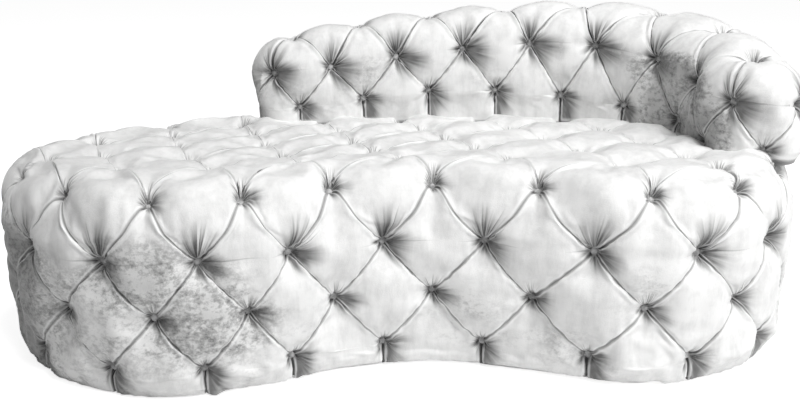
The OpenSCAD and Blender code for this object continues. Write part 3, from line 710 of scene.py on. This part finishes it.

# Painted shade in dark spokes beside each button, and painted shade and highlights on the sharp folds of the
# fan above it
rays = tree.nodes.new("ShaderNodeTexNoise")
rays.inputs["Scale"].default_value = 4.5
rays.inputs["Detail"].default_value = 2
tree.links.new(attribute("spoke", "Vector"), rays.inputs["Vector"])
# Painted shade round each button, broken into dark spokes
hold = attribute("drawn")
streak = sums("MULTIPLY", sums("SUBTRACT", 0.72, rays.outputs["Fac"]), 3.2)
edge = sums("MULTIPLY", streak, sums("SUBTRACT", 1.1, hold))
depth = sums("MULTIPLY", hold, sums("MULTIPLY_ADD", edge, 0.8, 0.60))
spoke_shade = ramp(tree, depth, [(0.04, 1.0), (0.60, 0.20)])
ribs = tree.nodes.new("ShaderNodeTexNoise")
ribs.inputs["Scale"].default_value = 4.8
ribs.inputs["Detail"].default_value = 1
tree.links.new(attribute("spoke", "Vector"), ribs.inputs["Vector"])
fan = attribute("fan")
long = sums("MINIMUM", sums("MULTIPLY", sums("MULTIPLY_ADD", rays.outputs["Fac"], 3.4, -0.1), fan), 1)
rib_greys = [(0.38, 1.0), (0.45, 0.50), (0.49, 0.12), (0.53, 0.45), (0.57, 1.0)]
rib_shade = ramp(tree, ribs.outputs["Fac"], rib_greys)
painted_rib_shade = tree.nodes.new("ShaderNodeMix")
painted_rib_shade.data_type = "RGBA"
tree.links.new(long, painted_rib_shade.inputs["Factor"])
painted_rib_shade.inputs["A"].default_value = (1, 1, 1, 1)
tree.links.new(rib_shade, painted_rib_shade.inputs["B"])
painted_rib_highlight = sums("MULTIPLY", ramp(tree, ribs.outputs["Fac"], [(0.57, 0.0), (0.62, 1.0), (0.70, 0.0)]), long)

# Painted shade on the shut line of each pleat with a painted highlight on both sides of it, painted shade
# along the folds from button to button, and painted shade on sides turned from the light
shut_w, ridge_w = 0.0045, 0.012
pleat = attribute("pleat")
shut = ramp(tree, sums("DIVIDE", pleat, shut_w), [(0.0, 0.36), (0.9, 1.0)])
ridge = ramp(tree, sums("DIVIDE", pleat, ridge_w), [(0.22, 0.0), (0.42, 1.0), (0.75, 0.0)])
pull = attribute("pull")
width = sums("MULTIPLY_ADD", pull, 0.0045, 0.0010)
aside = sums("ABSOLUTE", attribute("strain"), 0)
line = sums("MAXIMUM", sums("SUBTRACT", 1, sums("DIVIDE", aside, width)), 0)
pull_fold_shade = ramp(tree, sums("MULTIPLY", line, pull), [(0.0, 1.0), (0.8, 0.35)])
# Painted shade on the left end and on sides turned left, away from the light
turned_from_light_shade = ramp(tree, where, [(0.60, 1.0), (0.98, 0.45)])
# The velvet's colour with all the painted shade multiplied in
pile_and_shade = nap.outputs["Result"]
for shade in (spoke_shade, shut, pull_fold_shade, painted_rib_shade.outputs["Result"], turned_from_light_shade):
    pile_and_shade = darken(pile_and_shade, shade)
# Painted highlight on the ridges beside the pleats and on the fan's ribs, mixed towards white
pile_and_highlight = tree.nodes.new("ShaderNodeMix")
pile_and_highlight.data_type = "RGBA"
tree.links.new(sums("MULTIPLY", sums("MAXIMUM", ridge, painted_rib_highlight), 0.55), pile_and_highlight.inputs["Factor"])
tree.links.new(darken(pile_and_shade, (0.86, 0.86, 0.855, 1)), pile_and_highlight.inputs["A"])
pile_and_highlight.inputs["B"].default_value = (0.97, 0.97, 0.97, 1)
tree.links.new(pile_and_highlight.outputs["Result"], shader.inputs["Base Color"])
fuzz = stretched_noise(tree, (420, 420, 420), detail=3)
height = sums("MULTIPLY_ADD", sums("MULTIPLY", rays.outputs["Fac"], hold), 3.0, fuzz)
height = sums("MULTIPLY_ADD", sums("MULTIPLY", rib_shade, long), 1.6, height)
height = sums("SUBTRACT", height, sums("MULTIPLY", sums("MULTIPLY", line, pull), 1.5))
tree.links.new(bump(tree, height, 0.6, 0.0012), shader.inputs["Normal"])
shader.inputs["Roughness"].default_value = 0.62
shader.inputs["Sheen Weight"].default_value = 0.6
shader.inputs["Sheen Roughness"].default_value = 0.35

bm = bmesh.new()
bm.verts.layers.float.new("pleat")
for k in range(seat_n):
    add_panel(bm, side_diamond(k + 0.5, 0))
    add_panel(bm, side_diamond(k, 1))
    add_panel(bm, side_diamond(k + 0.5, 2))
    add_panel(bm, side_diamond(k, 3), keep=1)
    add_panel(bm, hem_panel(k))
for i in range(seat_cols):
    for j in range(1, seat_rows):
        add_panel(bm, seat_diamond(i + 0.5, j))
for i in range(1, seat_cols):
    for j in range(seat_rows):
        add_panel(bm, seat_diamond(i, j + 0.5))
bmesh.ops.remove_doubles(bm, verts=bm.verts, dist=weld)
close_under(bm, under_base)
base_cover = finish_cover(bm, "base_cover", velvet, list(base_buttons.values()), 5)
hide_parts("side_cover", "seat_cover")
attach(base_cover, "root")

# The backrest's cover: the same velvet over the foam shell, with two rows of buttons on each face and
# one along the crest, pleated down to the seam, and drawn into a fat rounded end at the arm.

back_h, seam_z, back_tuft, top_row_drop = 0.795, 0.452, 0.038, 0.108
crest_spans, outer_col, last_col = 7, 9, 16
back_edge, back_hem_width, seat_line_z = 0.15, 0.18, 0.460
back_outline_shares = [
    (-0.2225, 0.345), (-0.209, 0.283), (-0.170, 0.259), (-0.100, 0.284), (-0.033, 0.302),
    (0.070, 0.314), (0.174, 0.304), (0.262, 0.273), (0.332, 0.190), (0.368, 0.063),
    (0.369, -0.045), (0.386, -0.121), (0.416, -0.166), (0.451, -0.186), (0.480, -0.155),
    (0.494, -0.085), (0.498, 0.020), (0.491, 0.176), (0.437, 0.360), (0.324, 0.463),
    (0.148, 0.499), (-0.033, 0.491), (-0.120, 0.462), (-0.176, 0.432), (-0.211, 0.402)]
back_column_shares = [
    0.052, 0.102, 0.153, 0.205, 0.256, 0.302, 0.347, 0.390, 0.442,
    0.500, 0.562, 0.632, 0.705, 0.777, 0.849, 0.908, 0.964, 1.005]
crest_shares = [0.895, 0.933, 0.962, 0.987, 1.0, 0.980, 0.940, 0.880]
low_row_shares = [0.39, 0.43, 0.48, 0.44, 0.37, 0.32, 0.29, 0.22]
back_n = len(back_column_shares)
back_outline = closed_outline(back_outline_shares)


def crest_place(c):
    """How far along the crest a column stands, from 0 at the head to crest_spans at the arm"""
    round_arm = np.where(c < outer_col, crest_spans, np.maximum(0, last_col - c))
    return np.where(c < 0, 0, np.where(c <= crest_spans, c, round_arm))


def upper_row_z(c):
    """Height of the upper row of buttons, which follows the crest"""
    return back_h * np.interp(crest_place(c), range(crest_spans + 1), crest_shares) - top_row_drop


def back_plane(c):
    """Plan point of the plane of the buttons at a column"""
    s = share_of(back_column_shares, c)
    return along(back_outline, s) - outward(back_outline, s) * back_tuft


def spine(i):
    """Plan point midway between the backrest's two faces"""
    return (back_plane(i) + back_plane(last_col - i)) / 2


def back_skin(c, r, h):
    """The backrest: rows 0 at the crest, 1 and 2 at the rows of buttons, 3 at the seam"""
    c, r, h = np.broadcast_arrays(np.float64(c), r, h)
    c = np.where(c > back_n - 1, c - back_n, c)
    side, middle = back_plane(c), spine(crest_place(c))
    reach = np.linalg.norm(side - middle, axis=-1)
    high = upper_row_z(c)
    low = seam_z + np.interp(crest_place(c), range(crest_spans + 1), low_row_shares) * (high - seam_z)
    rise = top_row_drop - back_tuft
    phi = np.where(r < 1, np.pi / 2 * (1 - r), 0)
    below = np.where(r < 2, high + (low - high) * (r - 1), low + (seam_z - low) * (r - 2))
    z = np.where(r < 1, high + rise * np.sin(phi), below)
    flat, steep = np.cos(phi) / reach, np.sin(phi) / rise
    size = np.hypot(flat, steep)
    plan = middle + (side - middle) * np.cos(phi)[..., None]
    plan = plan + outward(back_outline, share_of(back_column_shares, c)) * (h * flat / size)[..., None]
    return at_height(plan, z + h * steep / size)


def fanned(c, r):
    """Above the upper row, the columns of an end all meet in one crest button"""
    k = np.round(c)
    at_end = (c < 0) | ((c > crest_spans) & (c < outer_col)) | (c > last_col)
    return np.where(at_end & (r > 0) & (r < 1), k + (c - k) / np.maximum(r, 1e-6), c)


def back_diamond(c, r):
    """A diamond round column c and row r of a face"""
    def place(a, b):
        col, row = c - 0.5 + (a + b) / 2, r + a - b
        h = back_tuft * puff(a, b) + tucked(a, b, back_edge)
        return back_skin(fanned(col, row), row, h), pleat_lines(a, b, back_edge)
    return place


def crest_diamond(i):
    """The diamond over the crest, from crest button i to the next"""
    def place(a, b):
        spot = i + (a + b) / 2
        h = back_tuft * puff(a, b)
        col = np.where(a < b, last_col - spot, spot)
        return back_skin(col, np.abs(a - b), h), pleat_lines(a, b, back_edge)
    return place


def back_hem(k):
    """The panel under the lower row, with painted shade where it comes down to the seat"""
    def place(a, q):
        points = back_skin(k + a, 2 + q, back_tuft * hem(a, q))
        # Painted shade along the seam with the seat, carried as a short distance to a pleat
        seat_contact_shade = np.maximum(0, points[:, 2] - seat_line_z) * 0.5
        return points, np.minimum(np.minimum(a, 1 - a) * back_hem_width, seat_contact_shade)
    return place


back_places = np.arange(back_n, dtype=float)
crest_button_places = np.arange(crest_spans + 1.0)
no_drop = np.zeros(crest_spans + 1)
back_buttons = {
    "upper_back_buttons": Buttons(back_skin, back_places + 0.5, np.ones(back_n), 0.080, 6, nap=1.6),
    "lower_back_buttons": Buttons(back_skin, back_places, np.full(back_n, 2.0), 0.046, 3, fall=0.4),
    "crest_buttons": Buttons(back_skin, crest_button_places, no_drop, 0.045, 4, nap=0.8),
}
bm = bmesh.new()
bm.verts.layers.float.new("pleat")
for k in range(back_n):
    add_panel(bm, back_diamond(k, 1))
    add_panel(bm, back_diamond(k + 0.5, 2), keep=1)
    add_panel(bm, back_hem(k))
for i in range(crest_spans):
    add_panel(bm, crest_diamond(i))
bmesh.ops.remove_doubles(bm, verts=bm.verts, dist=weld)
close_under(bm)
back_cover = finish_cover(bm, "back_cover_cloth", velvet, list(back_buttons.values()), 8)
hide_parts("back_cover")
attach(back_cover, "root")

# Covered buttons: a domed metal shell with the velvet pulled round it, on a twine that goes through
# the padding. Each row is one piece.

button_r, button_h, flatness = 0.0095, 0.010, 0.42
button_cloth_shaded, tree, shader = new_material("button_velvet")
# Painted shade: the buttons' velvet is much darker than the cover's, for the pits they sit in
nap = stretched_noise(tree, (90, 90, 90), detail=4)
tree.links.new(ramp(tree, nap, [(0.35, 0.22), (0.65, 0.62)]), shader.inputs["Base Color"])
shader.inputs["Roughness"].default_value = 0.6
shader.inputs["Sheen Weight"].default_value = 0.3
for name, row in {**base_buttons, **back_buttons}.items():
    bm = bmesh.new()
    for at, out in zip(row.at, row.out):
        dome = bmesh.ops.create_uvsphere(bm, u_segments=12, v_segments=6, radius=button_r)["verts"]
        turn = Vector(out).to_track_quat("Z", "Y").to_matrix()
        for vert in dome:
            flat = Vector((vert.co.x, vert.co.y, vert.co.z * flatness + button_h * 0.5))
            vert.co = turn @ flat + Vector(at)
    mesh = bpy.data.meshes.new(name + "_cloth")
    bm.to_mesh(mesh)
    bm.free()
    mesh.shade_smooth()
    mesh.materials.append(button_cloth_shaded)
    piece = bpy.data.objects.new(name + "_cloth", mesh)
    bpy.context.scene.collection.objects.link(piece)
    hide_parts(name)
    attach(piece, "root")

# Floor, light and camera: a plain white studio, seen from in front and from a little above the seat.
# The camera sees floor and world white, while two lamps and a dim world light the couch.

floor_paint, tree, shader = new_material("floor_white")
shader.inputs["Base Color"].default_value = (0.93, 0.93, 0.93, 1)
shader.inputs["Roughness"].default_value = 0.9
shader.inputs["Specular IOR Level"].default_value = 0
glow = tree.nodes.new("ShaderNodeLightPath")
tree.links.new(glow.outputs["Is Camera Ray"], shader.inputs["Emission Strength"])
shader.inputs["Emission Color"].default_value = (0.80, 0.80, 0.80, 1)
bm = bmesh.new()
bmesh.ops.create_grid(bm, x_segments=1, y_segments=1, size=30)
mesh = bpy.data.meshes.new("floor")
bm.to_mesh(mesh)
bm.free()
mesh.materials.append(floor_paint)
floor = bpy.data.objects.new("floor", mesh)
bpy.context.scene.collection.objects.link(floor)

world = bpy.data.worlds.new("studio")
bpy.context.scene.world = world
world.use_nodes = True
tree = world.node_tree
sky = tree.nodes["Background"]
sky.inputs["Color"].default_value = (1, 1, 1, 1)
sky.inputs["Strength"].default_value = 0.18
seen = tree.nodes.new("ShaderNodeBackground")
seen.inputs["Strength"].default_value = 1
seen.inputs["Color"].default_value = (1, 1, 1, 1)
rays = tree.nodes.new("ShaderNodeLightPath")
shown = rays.outputs["Is Camera Ray"]
for kind in ("Is Glossy Ray", "Is Transmission Ray"):
    both = tree.nodes.new("ShaderNodeMath")
    both.operation = "MAXIMUM"
    tree.links.new(shown, both.inputs[0])
    tree.links.new(rays.outputs[kind], both.inputs[1])
    shown = both.outputs["Value"]
blend = tree.nodes.new("ShaderNodeMixShader")
tree.links.new(shown, blend.inputs["Fac"])
tree.links.new(sky.outputs["Background"], blend.inputs[1])
tree.links.new(seen.outputs["Background"], blend.inputs[2])
tree.links.new(blend.outputs["Shader"], tree.nodes["World Output"].inputs["Surface"])

aim = Vector((0, 0, 0.4))
for name, size, power, at in (
        ("top_light", 2.4, 196, (1.4, -2.0, 4.8)),
        ("key_light", 1.2, 39, (3.0, -2.1, 1.7))):
    lamp = bpy.data.lights.new(name, "AREA")
    lamp.shape = "DISK"
    lamp.size = size
    lamp.energy = power
    light = bpy.data.objects.new(name, lamp)
    light.location = at
    light.rotation_euler = (aim - Vector(at)).to_track_quat("-Z", "Y").to_euler()
    bpy.context.scene.collection.objects.link(light)

lens = bpy.data.cameras.new("camera")
lens.sensor_width = 36
lens.lens = 40.5
camera = bpy.data.objects.new("camera", lens)
camera.location = (-0.0142, -2.2186, 0.960)
looks_down = 16.29
camera.rotation_euler = (math.radians(90 - looks_down), 0, 0)
bpy.context.scene.collection.objects.link(camera)
bpy.context.scene.camera = camera
bpy.context.scene.view_settings.view_transform = "Standard"
